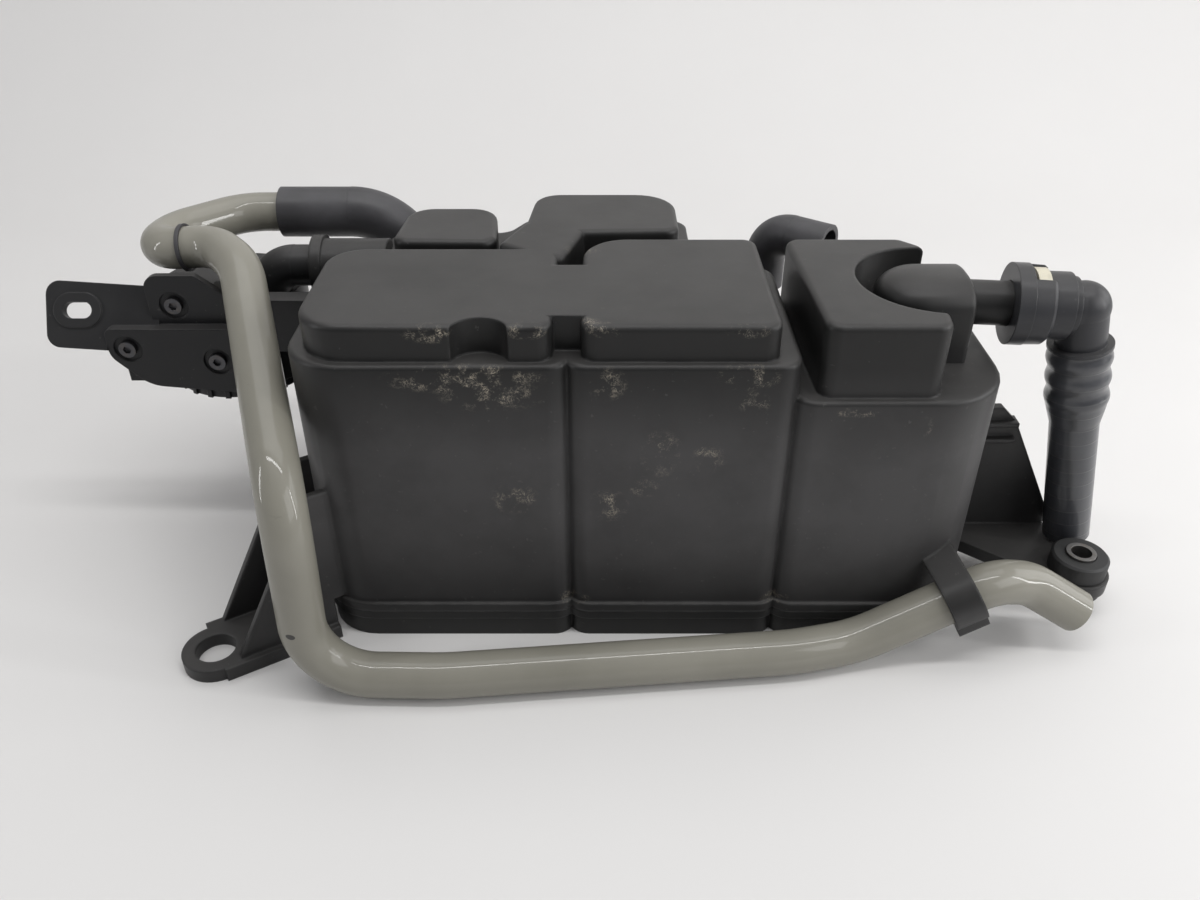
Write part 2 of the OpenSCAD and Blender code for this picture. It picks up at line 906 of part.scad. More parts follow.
module bottom_cover() {
    color("dimgray") difference() {
        union() {
            slab(0, seam) body_plan();
            slab(seam - weld_band, seam) offset(delta = weld_lip) body_plan();
        }
        for (bay = bays)
            slab(wall, seam + cut) offset(delta = -wall) outline(bay);
    }
}

// Vent tube with its band and hoses

module vent_tube() {
    color("darkkhaki") tube(vent_route, vent_radius, vent_radius - vent_wall);
}

module tube_band() {
    w = leg(vent_route, band_corner);
    p = spot(vent_route[band_corner]) + w * band_ahead;
    color("black") along(p, w) linear_extrude(band_width)
        ring(vent_radius + fit + band_wall, vent_radius + fit);
}

module vent_elbow_hose() {
    route = [
        [hose_end_x, hose_y, vent_z, 0],
        [hose_drop_x, hose_y, vent_z, hose_bend],
        [hose_drop_x, hose_y, hose_low, 0],
    ];
    color("black") tube(route, hose_radius, vent_radius + fit);
}

module rear_tube() {
    route = [
        [rear_x, middle + wall + fit, rear_z, 0],
        [rear_x, rear_y, rear_z, rear_bend],
        [rear_x, rear_y, rear_top, 0],
    ];
    color("darkkhaki") tube(route, rear_radius, rear_radius - rear_wall);
}

module rear_elbow_hose() {
    route = [
        [rear_x, rear_y, rear_hose_low, 0],
        [rear_x, rear_y, rear_hose_z, rear_hose_bend],
        [rear_x + rear_hose_reach * cos(rear_hose_turn),
            rear_y - rear_hose_reach * sin(rear_hose_turn), rear_hose_z, 0],
    ];
    color("black") tube(route, rear_hose_radius, rear_radius + fit);
}

// Quick connector and line tube

module quick_connector() {
    color("dimgray") difference() {
        union() {
            along(nipple_root, nipple_way_on) connector_barrel();
            translate(elbow_spot) sphere(elbow_radius + fit);
            elbow_leg() barbed_leg();
        }
        along(nipple_root, nipple_way_on) {
            translate([0, 0, collar_start - cut])
                cylinder(r = nipple_radius + fit, h = nipple_length + fit - collar_start + cut);
            translate([0, 0, collar_start])
                cylinder(r = elbow_bore, h = elbow_at - collar_start);
            for (i = [0:seal_count - 1])
                translate([0, 0, seal_start + i * seal_pitch - seal_wire - fit])
                    cylinder(r = seal_ring + seal_wire + fit, h = 2 * (seal_wire + fit));
            translate([-2 * connector_radius, -connector_radius / 2, retainer_start - fit])
                cube([4 * connector_radius, 2 * connector_radius, retainer_width + 2 * fit]);
        }
        translate(elbow_spot) sphere(elbow_bore + fit);
        elbow_leg() cylinder(r = elbow_bore - fit, h = barb_end + cut);
    }
}

module connector_barrel() {
    translate([0, 0, collar_start]) cylinder(r = collar_radius, h = collar_length);
    translate([0, 0, collar_start]) cylinder(r = connector_radius, h = body_end - collar_start);
    translate([0, 0, body_end - cut])
        cylinder(r = (connector_radius + elbow_radius) / 2, h = step_end - body_end + cut);
    translate([0, 0, body_end]) cylinder(r = elbow_radius, h = elbow_at - body_end);
}

// Places children at the elbow with Z down the leaning leg
module elbow_leg() {
    translate(elbow_spot) rotate([180, 0, 0]) rotate([0, line_lean, 0]) children();
}

// Lower leg of the elbow with a flange and three barbs
module barbed_leg() {
    cylinder(r = elbow_radius - fit, h = barb_start);
    translate([0, 0, barb_start - flange_thick]) cylinder(r = stub_flange, h = flange_thick);
    translate([0, 0, barb_start]) rotate_extrude() polygon(concat(
        [[0, -flange_thick], [barb_root, -flange_thick]],
        [for (i = [0:barb_count - 1], edge = barb_edges)
            [edge[0], (i + edge[1]) * barb_pitch]],
        [[barb_root, barb_count * barb_pitch], [0, barb_count * barb_pitch]]
    ));
}

module connector_retainer() {
    inner = nipple_radius - clip_groove + fit;
    outer = connector_radius + retainer_proud;
    color("ivory") along(nipple_root + nipple_way_on * retainer_start, nipple_way_on)
        translate([0, 0, fit / 2]) linear_extrude(retainer_width - fit) difference() {
            ring(outer, inner);
            translate([-2 * outer, -4 * outer])
                square([4 * outer, 4 * outer - connector_radius / 2 + fit]);
        }
}

module connector_seals() {
    color("black") along(nipple_root, nipple_way_on)
        for (i = [0:seal_count - 1])
            translate([0, 0, seal_start + i * seal_pitch])
                rotate_extrude() translate([seal_ring, 0]) circle(seal_wire);
}

// Line tube, swollen over the barbs
module line_tube() {
    from = barb_start + fit;
    swell_end = from + barb_count * barb_pitch;
    color("black") elbow_leg() rotate_extrude() polygon(concat(
        [[line_bore, from]],
        [for (i = [0:swell_steps])
            let (t = i / swell_steps)
            [line_radius + swell + bump * pow(sin(180 * barb_count * t), 2),
                from + t * (swell_end - from)]],
        [[line_radius, swell_end + taper], [line_radius, from + line_length]],
        [[line_bore, from + line_length]]
    ));
}

// Bush of the right foot

module bush_grommet() {
    color("black") translate([bush_x, bush_y, 0]) rotate_extrude() polygon([
        [sleeve_radius + fit, bush_low],
        [bush_flange - bush_chamfer, bush_low],
        [bush_flange, bush_low + bush_chamfer],
        [bush_flange, foot_low - fit],
        [bush_eye - fit, foot_low - fit],
        [bush_eye - fit, foot_low + foot_thick + fit],
        [bush_flange, foot_low + foot_thick + fit],
        [bush_flange, bush_high - bush_chamfer],
        [bush_flange - bush_chamfer, bush_high],
        [sleeve_radius + fit, bush_high],
    ]);
}

module bush_sleeve() {
    color("silver") translate([bush_x, bush_y, bush_low - sleeve_proud])
        linear_extrude(bush_high - bush_low + 2 * sleeve_proud) ring(sleeve_radius, sleeve_bore);
}

// Breather module

module module_body() {
    route = [
        [pipe_x, pipe_y, drum_top - drum_wall, 0],
        [pipe_x, pipe_y, pipe_z, pipe_bend],
        [pipe_end, pipe_y, pipe_z, 0],
    ];
    color("gray") difference() {
        union() {
            translate([drum_x, drum_y, drum_low + lid_height])
                cylinder(r = drum_radius, h = drum_height - lid_height);
            translate([block_left, block_y, block_low])
                cube([arm_x + 2 * wall - block_left, block_back, drum_top - block_low]);
            translate([arm_x, arm_y, arm_low])
                cube([left - fit - arm_x, arm_depth, arm_top - arm_low]);
            translate([drum_x, block_y, drum_top - wall])
                cube([plate_right - drum_x, block_back, arm_top - drum_top + wall]);
            translate([upper_left + 2 * wall, block_y, drum_top - wall])
                cube([drum_x - upper_left - 2 * wall + cut, 2 * wall, boss_top - drum_top + wall]);
            tube(route, pipe_radius, 0);
        }
        translate([drum_x, drum_y, drum_low + lid_height - cut])
            cylinder(r = drum_radius - drum_wall, h = drum_height - lid_height - drum_wall + cut);
        tube(route, pipe_radius - pipe_wall, 0);
        along([pipe_seal_x, pipe_y, pipe_z], [1, 0, 0])
            linear_extrude(seal_width) ring(pipe_radius + cut, pipe_radius - seal_groove);
        screw_holes(screw_radius + fit / 2, block_y - cut);
    }
}

module screw_holes(radius, from) {
    for (p = screw_places)
        along([p[0], from, p[1]], [0, 1, 0])
            cylinder(r = radius, h = screw_length);
}

module module_lid() {
    color("dimgray") {
        translate([drum_x, drum_y, drum_low]) cylinder(r = drum_radius - lid_rib, h = lid_height);
        translate([drum_x, drum_y, drum_low + lid_height])
            cylinder(r = drum_radius - drum_wall - fit, h = drum_wall);
        for (i = [0:lid_ribs - 1])
            translate([drum_x, drum_y, drum_low]) rotate([0, 0, 360 * i / lid_ribs])
                translate([drum_radius - 2 * lid_rib, -lid_rib, 0])
                    cube([2 * lid_rib, 2 * lid_rib, lid_height]);
    }
}

module module_filter() {
    outer = drum_radius - drum_wall - filter_gap;
    color("beige") translate([drum_x, drum_y, drum_low + lid_height + drum_wall])
        linear_extrude(drum_height - lid_height - 2 * drum_wall) ring(outer, outer - filter_thick);
}

module module_gasket() {
    color("black") difference() {
        translate([block_left + wall, cover_back, block_low + wall])
            cube([plate_right - block_left - 2 * wall, gasket, drum_top - block_low - 2 * wall]);
        screw_holes(screw_radius + fit, cover_back - cut);
    }
}

module module_cover() {
    lower = [
        [plate_left + plate_bevel, plate_low, plate_round],
        [plate_right, plate_low - plate_dip, cover_corner],
        [plate_right, plate_top, cover_corner],
        [plate_left, plate_top, cover_corner],
        [plate_left, plate_low + plate_bevel, plate_round / 2],
    ];
    upper = [
        [upper_left, plate_top - wall, cover_corner],
        [plate_right, plate_top - wall, cover_corner],
        [plate_right, plate_top + upper_step, cover_corner],
        [plate_right - upper_slope, upper_top, cover_corner],
        [upper_left, upper_top, 2 * cover_corner],
    ];
    tab = [
        [tab_left, tab_low, 2 * cover_corner],
        [upper_left + wall, tab_low - tab_flare, cover_corner / 3],
        [upper_left + wall, tab_top - tab_flare, cover_corner / 3],
        [tab_left, tab_top, 2 * cover_corner],
    ];
    color("dimgray") difference() {
        union() {
            front_plate(plate_front, cover_back) outline(lower);
            front_plate(upper_front, cover_back) outline(upper);
            lean_tab() {
                front_plate(0, tab_thick) outline(tab);
                front_plate(-slot_rise, tab_thick)
                    slot_plan(slot_length + 2 * slot_pad, slot_width + 2 * slot_pad);
            }
        }
        lean_tab() front_plate(-tab_thick, 2 * tab_thick) slot_plan(slot_length, slot_width);
        screw_holes(screw_radius + fit, plate_front);
        for (p = screw_places)
            along([p[0], p[2] - cut, p[1]], [0, 1, 0])
                cylinder(r = screw_well, h = well_depth + cut);
    }
}

// Leans the fixing tab back about the line through its slot
module lean_tab() {
    translate([0, tab_front, slot_z]) rotate([-tab_lean, 0, 0]) translate([0, 0, -slot_z])
        children();
}

// Plate seen from the front: its outline is drawn in X and Z
module front_plate(from, to) {
    translate([0, to, 0]) rotate([90, 0, 0]) linear_extrude(to - from) children();
}

module slot_plan(length, width) {
    translate([slot_x - (length - width) / 2, slot_z]) circle(width / 2);
    translate([slot_x + (length - width) / 2, slot_z]) circle(width / 2);
    translate([slot_x - (length - width) / 2, slot_z - width / 2])
        square([length - width, width]);
}

module module_screws() {
    color("black") for (p = screw_places) {
        seat = p[2] + well_depth;
        along([p[0], seat - screw_cap, p[1]], [0, 1, 0]) difference() {
            union() {
                cylinder(r = screw_head, h = screw_cap);
                cylinder(r = screw_radius, h = screw_cap + screw_length - cut + plate_front - seat);
            }
            translate([0, 0, -cut]) cylinder(r = key_radius, h = key_depth + cut, $fn = key_sides);
        }
    }
}

module pipe_seal() {
    color("black") along([pipe_seal_x + fit / 2, pipe_y, pipe_z], [1, 0, 0])
        linear_extrude(seal_width - fit)
            ring(pipe_radius + fit / 2, pipe_radius - seal_groove + fit / 2);
}

// Filling of a chamber

module fill(i, low, high) {
    slab(low, high) offset(delta = -(wall + fill_gap)) outline(bays[i]);
}

function bay_centre(i) = (plan(bays[i][0]) + plan(bays[i][2])) / 2;

module carbon_bed(i) {
    color("black") fill(i, felt_top, bay_tops[i] - wall - screen_thick);
}

module upper_screen(i) {
    color("white") fill(i, bay_tops[i] - wall - screen_thick, bay_tops[i] - wall);
}

module lower_screen(i) {
    color("white") fill(i, grid_top, felt_top);
}

module support_grid(i) {
    color("gray") difference() {
        fill(i, spring_top, grid_top);
        for (x = [-1:1], y = [-1:1])
            translate([bay_centre(i)[0] + x * grid_pitch, bay_centre(i)[1] + y * grid_pitch, 0])
                cylinder(r = grid_hole, h = grid_top + cut);
    }
}

// Coil spring between the cover's floor and the grid
module coil_spring(i) {
    rise = spring_top - wall - spring_wire;
    last = coil_turns * coil_steps;
    points = [for (s = [0:last], k = [0:wire_sides - 1])
        let (a = 360 * s / coil_steps, b = 360 * k / wire_sides)
        let (r = spring_radius + spring_wire / 2 * cos(b))
        [r * cos(a), r * sin(a), rise * s / last + spring_wire / 2 * sin(b)]];
    sides = [for (s = [0:last - 1], k = [0:wire_sides - 1])
        let (n = (k + 1) % wire_sides)
        [s * wire_sides + k, s * wire_sides + n,
            (s + 1) * wire_sides + n, (s + 1) * wire_sides + k]];
    caps = [
        [for (k = [wire_sides - 1:-1:0]) k],
        [for (k = [0:wire_sides - 1]) last * wire_sides + k],
    ];
    color("silver") translate([bay_centre(i)[0], bay_centre(i)[1], wall + spring_wire / 2])
        polyhedron(points, concat(sides, caps));
}

canister_housing();
bottom_cover();
vent_tube();
tube_band();
vent_elbow_hose();
rear_tube();
rear_elbow_hose();
quick_connector();
connector_retainer();
connector_seals();
line_tube();
bush_grommet();
bush_sleeve();
module_body();
module_lid();
module_filter();
module_gasket();
module_cover();
module_screws();
pipe_seal();
carbon_bed(0);  // carbon_bed_left
carbon_bed(1);  // carbon_bed_middle
carbon_bed(2);  // carbon_bed_right
carbon_bed(3);  // carbon_bed_rear
upper_screen(0);  // upper_screen_left
upper_screen(1);  // upper_screen_middle
upper_screen(2);  // upper_screen_right
upper_screen(3);  // upper_screen_rear
lower_screen(0);  // lower_screen_left
lower_screen(1);  // lower_screen_middle
lower_screen(2);  // lower_screen_right
lower_screen(3);  // lower_screen_rear
support_grid(0);  // support_grid_left
support_grid(1);  // support_grid_middle
support_grid(2);  // support_grid_right
support_grid(3);  // support_grid_rear
coil_spring(0);  // spring_left
coil_spring(1);  // spring_middle
coil_spring(2);  // spring_right
coil_spring(3);  // spring_rear
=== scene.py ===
"""Looks of a charcoal canister: studio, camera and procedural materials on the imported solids."""

import json
import math

import bmesh
import bpy
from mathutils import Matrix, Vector


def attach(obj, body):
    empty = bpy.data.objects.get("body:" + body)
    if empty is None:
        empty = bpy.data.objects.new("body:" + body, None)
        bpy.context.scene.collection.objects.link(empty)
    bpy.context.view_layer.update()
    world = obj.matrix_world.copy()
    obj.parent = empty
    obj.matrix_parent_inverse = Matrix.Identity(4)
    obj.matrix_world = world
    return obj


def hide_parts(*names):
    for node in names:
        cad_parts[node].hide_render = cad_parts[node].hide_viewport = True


MM = 0.001

# Camera at the photograph's place, in millimetres and degrees
CAMERA_PLACE = (-19.0, -384.2, 300.0)
CAMERA_DOWN = 33.5
LENS = 30.0
SENSOR = 36.0

# Studio
FLOOR_COLOUR = (0.70, 0.69, 0.68)
WORLD_COLOUR = (0.95, 0.96, 1.0)
WORLD_STRENGTH = 0.24
FLOOR_SHADE = 0.97
FLOOR_CLOUD = 3.0
FLOOR_ROUGH = 0.75
# Floor and backdrop in metres: front edge, back wall, its height, radius of the turn, half width
FLOOR_FRONT = -2.0
FLOOR_BACK = 0.75
FLOOR_RISE = 1.6
FLOOR_TURN = 0.35
FLOOR_HALF = 2.6
FLOOR_STEPS = 14

# Lamps: name, place and aim in metres, width and height in metres, watts
LAMPS = [
    ("ceiling", (0.0, 0.35, 1.35), (0.0, 0.0, 0.0), (1.6, 0.9), 7.0),
    ("ceiling_strip", (0.0, -0.3, 1.4), (0.0, -0.1, 0.0), (1.4, 0.09), 7.0),
    ("left_strip", (-1.1, -0.32, 0.42), (-0.13, -0.06, 0.08), (0.07, 0.6), 1.9),
    ("right_strip", (0.95, -0.3, 0.45), (0.0, -0.06, 0.08), (0.07, 0.6), 2.4),
    ("fill", (0.9, -0.7, 0.7), (0.08, 0.0, 0.05), (0.7, 0.7), 4.2),
    ("side", (1.0, 0.1, 0.5), (0.1, 0.0, 0.05), (0.6, 0.6), 3.0),
]

# Scuffed places on the housing: centre and half sizes in millimetres, and strength
SCUFFS = [
    ((-79, -70, 140), (11, 8, 4.0), 1.0),
    ((-45, -70, 141), (9, 8, 3.5), 1.0),
    ((-24, -68, 143), (7, 8, 4.0), 0.7),
    ((-16, -70, 141), (7, 8, 3.0), 0.9),
    ((33, -70, 141), (9, 8, 3.0), 0.9),
    ((-26, 2, 143), (9, 6, 4.0), 0.7),
    ((-68, -73, 124), (32, 6, 7.0), 1.0),
    ((-58, -73, 118), (22, 6, 9.0), 0.7),
    ((-17, -73, 122), (9, 6, 8.0), 0.7),
    ((34, -73, 125), (13, 6, 6.5), 0.9),
    ((37, -73, 114), (7, 6, 6.0), 0.5),
    ((-52, -73, 71), (11, 6, 8.0), 0.7),
    ((-16, -73, 68), (9, 6, 9.0), 0.7),
    ((-2, -73, 76), (7, 6, 5.0), 0.5),
    ((4, -73, 92), (9, 6, 12.0), 0.6),
    ((22, -73, 90), (8, 6, 8.0), 0.55),
    ((75, -73, 110), (10, 6, 2.5), 0.9),
    ((101, -73, 104), (3, 6, 5.0), 0.6),
    ((-31, -74, 20), (9, 8, 3.5), 1.0),
    ((53, -74, 20), (7, 8, 3.5), 0.8),
]

# Mottling of the black plastic, as noise cells per metre
CLOUD = 22.0
PATCH = 38.0
WAVE = 45.0
# Patches of the lighter edges, partly rubbed and partly a painted highlight
RUB_AND_HIGHLIGHT = 120.0
TEAR = 170.0
SPECKLE = 420.0
GRAIN = 1500.0
# Scratches: noise cells per metre and width of the lines
COARSE_THREADS = (300.0, 0.022)
FINE_THREADS = (480.0, 0.02)

# What lies on the black plastic: its colour and its share
DUST = (0.080, 0.077, 0.075)
DUST_SHARE = 0.55
SPECK = (0.14, 0.135, 0.13)
SPECK_SHARE = 0.2
# Lighter edges: partly rubbed wear, partly a painted edge highlight.
RUBBED_AND_EDGE_HIGHLIGHT = (0.10, 0.098, 0.095)
RUBBED_AND_EDGE_HIGHLIGHT_SHARE = 0.35
TORN = (0.20, 0.19, 0.18)
TORN_SHARE = 0.10
SCRATCH = (0.40, 0.355, 0.28)
SCRATCH_SHARE = 0.9
SCRATCH_ROUGH = 0.3
PLASTIC_GLOSS = 0.3
# Film on the walls, partly dirt and partly painted light on the walls: heights in millimetres
# between which it fades, into painted shade under the ledge above and darker towards the floor
# below, and its least share
WALL_FILM_AND_LIGHT = (0.058, 0.0565, 0.057)
FILM_FADE_INTO_LEDGE_SHADE = (126, 92)
FILM_FADE_TO_FLOOR = (8, 62)
FILM_LEAST = 0.35

# Vent tube's nylon: tones, handling marks, dark nick, clear coat and noise cells per metre
TUBE_DARK = (0.205, 0.197, 0.164)
TUBE_LIGHT = (0.25, 0.24, 0.203)
TUBE_MARK = (0.11, 0.105, 0.09)
TUBE_MARK_SHARE = 0.25
TUBE_NICK = (0.03, 0.028, 0.026)
TUBE_COAT = 0.5
TUBE_COAT_ROUGH = 0.05
TUBE_CLOUD = 18.0
TUBE_MARKS = 260.0
TUBE_RIPPLE = 60.0
TUBE_COAT_RIPPLE = 35.0
# Dark nick: centre and half sizes in millimetres
NICK = (-134.5, -112.0, 36.0)
NICK_HALF = (2.2, 4.0, 1.4)

# Line tube: a point on its axis in millimetres, its way and the pitch of its ring marks
LINE_FOOT = (168.7, -29.4, 132.0)
LINE_WAY = (0.190809, 0.0, -0.981627)
RING_PITCH = 7.0
LINE_DARK = (0.036, 0.038, 0.044)
LINE_LIGHT = (0.056, 0.058, 0.065)
RING = (0.085, 0.085, 0.085)
RING_SHARE = 0.5
LINE_COAT = 0.5
LINE_COAT_ROUGH = 0.12
LINE_CLOUD = 60.0
LINE_GRAIN = 500.0

# Rubber: how much paler its bloom is, the bloom's share and noise cells per metre
BLOOM_PALE = 2.2
BLOOM_SHARE = 0.6
BLOOM_CLOUD = 55.0
RUBBER_GRAIN = 900.0

# Steel, felt, carbon and cream nylon: tones and noise cells per metre
STAIN = (0.16, 0.13, 0.10)
STAIN_CLOUD = 240.0
STEEL_LINES = 500.0
FELT_DARK = (0.62, 0.6, 0.54)
FELT_LIGHT = (0.78, 0.76, 0.71)
FELT_ROUGH = 0.95
FIBRES = 700.0
GRANULE = (0.03, 0.03, 0.03)
# Darker colour between the granules: painted shade in the gaps.
GRANULE_GAP_SHADE = (0.006, 0.006, 0.006)
GRANULE_ROUGH = 0.8
GRANULES = 420.0
CREAM = (0.64, 0.6, 0.48)
CREAM_ROUGH = 0.45
GRIME = (0.3, 0.26, 0.2)
GRIME_SHARE = 0.5
GRIME_CLOUD = 180.0

# Vent tube: corners in millimetres with the radius of the bend, as in the solids
VENT_ROUTE = [
    (-145.5, 75, 132, 0),
    (-187.5, 75, 132, 24),
    (-211.5, 49.5, 132, 24),
    (-212.5, 25.5, 133, 11),
    (-185.5, 25.5, 135, 20),
    (-168.5, 5.5, 134, 40),
    (-131.5, -100.5, 89, 34),
    (-133, -104.5, 9.2, 26),
    (-80, -105.5, 9.2, 90),
    (59, -92.5, 9.2, 90),
    (85, -86.5, 9.2, 40),
    (138, -80.5, 36.2, 22),
    (155, -75, 30.7, 26),
    (177, -77, 17.2, 0),
]
VENT_RADIUS = 9.0
VENT_WALL = 1.8
BEND_STEP = math.radians(4)
TUBE_SIDES = 64

# Smooth nose over the plain one of the housing, in millimetres: centre of its round tip, end at the
# nipple, half width, foot, shoulder, height of the crown, power of its arch and radius of the end
NOSE_PLACE = (106.0, -24.5)
NOSE_END = 123.0
NOSE_HALF = 17.8
NOSE_LOW = 113.5
NOSE_SHOULDER = 133.0
NOSE_CROWN = 11.6
NOSE_POWER = 2.5
NOSE_ROUND = 2.0
ARCH_STEPS = 16
ROUND_STEPS = 4
TIP_STEPS = 24

# Collar of the quick connector with the window of the retainer's button: root and way of the nipple,
# profile as distance along it and radius, and half the window's angle
NIPPLE_ROOT = (122.0, -24.5, 132.0)
NIPPLE_TURN = math.radians(6)
COLLAR_PROFILE = [
    (24.4, 14.5),
    (24.4, 15.7),
    (31.4, 15.4),
    (32.6, 14.4),
    (32.6, 13.3),
    (31.15, 13.3),
    (31.15, 14.5),
]
COLLAR_STEPS = 60
WINDOW_HALF = math.radians(29)

# Block in front of the module's plate, in millimetres: it trims the lower edge of the fixing tab
TRIM_LOW = (-229.5, -8.0, 88.0)
TRIM_HIGH = (-205.0, -3.49, 107.0)

# Shading: points closer than this are one, in millimetres, and edges sharper than this stay sharp
WELD_GAP = 0.002
CREASE = math.radians(28)
EDGE_SAMPLES = 6


def put(tree, socket, value):
    """Link a socket to another one, or set its value; a colour gets its alpha."""
    if isinstance(value, bpy.types.NodeSocket):
        tree.links.new(value, socket)
    elif socket.type == "RGBA":
        socket.default_value = (*value, 1.0)
    else:
        socket.default_value = value


def add(tree, kind, inputs=None, **settings):
    """New shader node with its settings, its inputs linked or set."""
    node = tree.nodes.new(kind)
    for name, value in settings.items():
        setattr(node, name, value)
    for key, value in (inputs or {}).items():
        put(tree, node.inputs[key], value)
    return node


def maths(tree, operation, a, b=0.0, clamp=False):
    """One sum on two sockets or numbers."""
    node = add(tree, "ShaderNodeMath", {0: a, 1: b}, operation=operation, use_clamp=clamp)
    return node.outputs[0]


def vectors(tree, operation, a, b=None):
    """Node of one sum on vectors."""
    inputs = {0: a} if b is None else {0: a, 1: b}
    return add(tree, "ShaderNodeVectorMath", inputs, operation=operation)


def place(tree):
    """Position on the object in metres, the same in every view."""
    return add(tree, "ShaderNodeTexCoord").outputs["Object"]


def noise(tree, at, scale, detail=4.0, rough=0.55, distortion=0.0):
    """Cloudy value from 0 to 1, with a scale in cells per metre."""
    inputs = {
        "Vector": at,
        "Scale": scale,
        "Detail": detail,
        "Roughness": rough,
        "Distortion": distortion,
    }
    return add(tree, "ShaderNodeTexNoise", inputs).outputs["Fac"]


def stretched(tree, at, scale):
    """Position scaled along each axis, for noise that runs in streaks."""
    return add(tree, "ShaderNodeMapping", {"Vector": at, "Scale": scale}).outputs["Vector"]


def band(tree, value, low, high, to_low=0.0, to_high=1.0):
    """Value between low and high turned to one between to_low and to_high, held at the ends."""
    inputs = {
        "Value": value,
        "From Min": low,
        "From Max": high,
        "To Min": to_low,
        "To Max": to_high,
    }
    return add(tree, "ShaderNodeMapRange", inputs).outputs["Result"]


def blend(tree, share, a, b):
    """Colour a turning to colour b by a share from 0 to 1."""
    return add(tree, "ShaderNodeMix", {0: share, 6: a, 7: b}, data_type="RGBA").outputs[2]


def laid(tree, where, share, under, over):
    """Colour under, with a share of colour over where a mask is 1."""
    return blend(tree, maths(tree, "MULTIPLY", where, share), under, over)


def away_from(tree, at, centre):
    """Vector in metres to a position from a centre given in millimetres."""
    return vectors(tree, "ADD", at, [-v * MM for v in centre]).outputs[0]


def near(tree, at, centre, half):
    """Share that is 1 at a place and falls to 0 at the half sizes round it, all in millimetres."""
    away = away_from(tree, at, centre)
    scaled = vectors(tree, "MULTIPLY", away, [1 / (v * MM) for v in half])
    length = vectors(tree, "LENGTH", scaled.outputs[0])
    return band(tree, length.outputs["Value"], 1.0, 0.35)


def face_normal(tree):
    """Normal of the surface before any bump."""
    return add(tree, "ShaderNodeNewGeometry").outputs["Normal"]


def facing_up(tree):
    """Value that is 1 on what faces up, 0 on walls and -1 on what faces down."""
    return add(tree, "ShaderNodeSeparateXYZ", {0: face_normal(tree)}).outputs["Z"]


def rounded_normal(tree, radius):
    """Normal that rounds the edges by a radius in millimetres."""
    node = add(tree, "ShaderNodeBevel", {"Radius": radius * MM}, samples=EDGE_SAMPLES)
    return node.outputs["Normal"]


def bump(tree, height, strength, distance, normal=None):
    """Normal tilted by a height, with a distance in millimetres."""
    inputs = {"Height": height, "Strength": strength, "Distance": distance * MM}
    if normal is not None:
        inputs["Normal"] = normal
    return add(tree, "ShaderNodeBump", inputs).outputs["Normal"]


def start(name):
    """New material, its node tree and its shader."""
    material = bpy.data.materials.new(name)
    material.use_nodes = True
    tree = material.node_tree
    return material, tree, tree.nodes["Principled BSDF"]


def surface(tree, shader, colour, rough, normal):
    """Give a shader its colour, roughness and normal."""
    put(tree, shader.inputs["Base Color"], colour)
    put(tree, shader.inputs["Roughness"], rough)
    put(tree, shader.inputs["Normal"], normal)


def coat(shader, weight, rough):
    """Lay a clear gloss over a shader."""
    shader.inputs["Coat Weight"].default_value = weight
    shader.inputs["Coat Roughness"].default_value = rough


def threads(tree, at, scale, width):
    """Thin tangled lines: the places where a noise passes its middle value."""
    wander = noise(tree, at, scale, detail=3.0, rough=0.6, distortion=1.2)
    off_middle = maths(tree, "ABSOLUTE", maths(tree, "SUBTRACT", wander, 0.5))
    return band(tree, off_middle, width, 0.3 * width)


def edge_for_wear_and_highlight(tree, radius):
    """Share that is 1 on convex and concave edges and 0 on the faces between them."""
    along = vectors(tree, "DOT_PRODUCT", face_normal(tree), rounded_normal(tree, radius))
    return band(tree, along.outputs["Value"], 0.985, 0.90)


def film_with_painted_wall_light(tree, at, patches):
    """Share of the wall film, partly dirt and partly painted light: most on the middle of the walls,
    none on what faces up or down, fading to painted shade under the ledge and darker towards the
    floor.
    """
    height = add(tree, "ShaderNodeSeparateXYZ", {0: at}).outputs["Z"]
    # Fading out under the ledge paints shade there; fading towards the floor makes the walls darker
    # towards the bottom.
    above = band(tree, height, FILM_FADE_INTO_LEDGE_SHADE[0] * MM, FILM_FADE_INTO_LEDGE_SHADE[1] * MM)
    below = band(tree, height, FILM_FADE_TO_FLOOR[0] * MM, FILM_FADE_TO_FLOOR[1] * MM, FILM_LEAST, 1.0)
    wall = band(tree, maths(tree, "ABSOLUTE", facing_up(tree)), 0.5, 0.1)
    mottle = band(tree, patches, 0.0, 0.6, 0.7, 1.0)
    level = maths(tree, "MULTIPLY", maths(tree, "MULTIPLY", above, below), wall)
    return maths(tree, "MULTIPLY", level, mottle)


def scuff_marks(tree, at, scuffs):
    """Shares of torn skin and of the scratches in it, at the scuffed places."""
    worn = None
    for centre, half, strength in scuffs:
        share = maths(tree, "MULTIPLY", near(tree, at, centre, half), strength)
        worn = share if worn is None else maths(tree, "MAXIMUM", worn, share)
    coarse = threads(tree, at, *COARSE_THREADS)
    lines = maths(tree, "MAXIMUM", coarse, threads(tree, at, *FINE_THREADS))
    torn = band(tree, noise(tree, at, TEAR, detail=4.0, rough=0.65), 0.47, 0.62)
    patch = maths(tree, "MULTIPLY", band(tree, worn, 0.05, 0.75), torn)
    return patch, maths(tree, "MULTIPLY", lines, patch)


